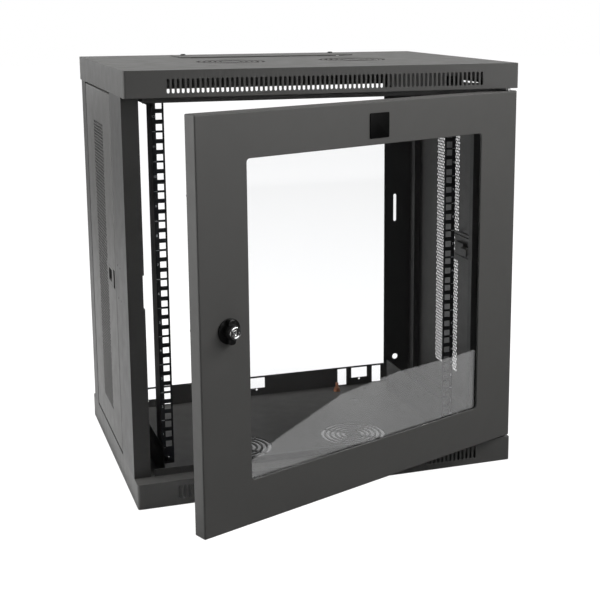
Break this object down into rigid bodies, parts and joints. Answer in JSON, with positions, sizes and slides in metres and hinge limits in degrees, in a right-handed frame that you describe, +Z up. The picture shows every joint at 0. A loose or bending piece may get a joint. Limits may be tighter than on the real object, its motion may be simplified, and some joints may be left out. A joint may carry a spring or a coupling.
{
  "type": "wall mount network cabinet",
  "caption": "Wall mount network cabinet with a windowed locking front door, lift-off perforated side panels, square-hole rack rails, fan grilles and cable openings",
  "frame": {"origin": "centre of the base, on the surface the cabinet stands on", "axes": "+X to the right seen from the front, +Y to the back (the wall), +Z up"},
  "size_m": [0.6, 0.6686, 0.6387],
  "materials": {
    "cover_coat": "fine-textured charcoal powder coat",
    "frame_coat": "fine-textured charcoal powder coat",
    "panel_coat": "fine-textured charcoal powder coat",
    "rail_coat": "satin black powder coat",
    "door_coat": "fine-textured charcoal powder coat",
    "black_screw": "black oxide",
    "zinc_steel": "bright zinc plated",
    "brass": "plain copper-coloured stud and nut",
    "acrylic": "clear, slightly grey acrylic sheet",
    "badge_black": "gloss black",
    "rubber": "matt black",
    "lock_black": "gloss black",
    "lock_chrome": "polished",
    "nylon": "black nylon"
  },
  "bodies": {
    "cabinet": {"bottom_cover": "cover_coat", "top_cover": "cover_coat", "cable_plate": "cover_coat", "cable_plate_screws": "black_screw", "ground_stud": "brass", "ground_nut": "brass", "front_column_right": "frame_coat", "front_column_left": "frame_coat", "rear_column_right": "frame_coat", "rear_column_left": "frame_coat", "front_header": "frame_coat", "front_sill": "frame_coat", "rear_header": "frame_coat", "rack_rail_right": "rail_coat", "rack_rail_left": "rail_coat", "rail_bracket_low_right": "frame_coat", "rail_bracket_high_right": "frame_coat", "rail_bracket_low_left": "frame_coat", "rail_bracket_high_left": "frame_coat", "rail_screws": "black_screw", "rail_nuts": "zinc_steel", "hinge_washer": "nylon"},
    "door": {"door_frame": "door_coat", "door_window": "acrylic", "window_clips": "zinc_steel", "badge_plate": "badge_black", "door_bumpers": "rubber", "lock_body": "lock_black", "lock_nut": "zinc_steel", "hinge_pin_high": "zinc_steel", "hinge_pin_low": "zinc_steel", "hinge_bracket_high": "door_coat", "hinge_bracket_low": "door_coat"},
    "lock": {"lock_knob": "lock_black", "lock_cam": "zinc_steel", "lock_cam_screw": "zinc_steel"},
    "key_plug": {"lock_cylinder": "lock_chrome"},
    "right_panel": {"side_panel_right": "panel_coat", "latch_guides_right": "panel_coat"},
    "left_panel": {"side_panel_left": "panel_coat", "latch_guides_left": "panel_coat"},
    "right_latch": {"side_latch_right": "panel_coat"},
    "left_latch": {"side_latch_left": "panel_coat"}
  },
  "joints": [
    {"name": "door_hinge", "type": "hinge", "parent": "cabinet", "child": "door", "pos_m": [0.287, -0.2145, 0.3175], "axis": [0, 0, 1], "range_deg": [-22, 158]},
    {"name": "lock_turn", "type": "hinge", "parent": "door", "child": "lock", "pos_m": [-0.20882, -0.42615, 0.314], "axis": [0.3746, -0.9272, 0], "range_deg": [0, 90]},
    {"name": "key_turn", "type": "hinge", "parent": "lock", "child": "key_plug", "pos_m": [-0.20882, -0.42615, 0.314], "axis": [0.3746, -0.9272, 0], "range_deg": [0, 90]},
    {"name": "right_panel_lift_off", "type": "slide", "parent": "cabinet", "child": "right_panel", "axis": [1, 0, 0], "range_m": [0, 0.15]},
    {"name": "left_panel_lift_off", "type": "slide", "parent": "cabinet", "child": "left_panel", "axis": [-1, 0, 0], "range_m": [0, 0.15]},
    {"name": "right_latch_slide", "type": "slide", "parent": "right_panel", "child": "right_latch", "axis": [0, -1, 0], "range_m": [0, 0.0105]},
    {"name": "left_latch_slide", "type": "slide", "parent": "left_panel", "child": "left_latch", "axis": [0, -1, 0], "range_m": [0, 0.0105]}
  ]
}
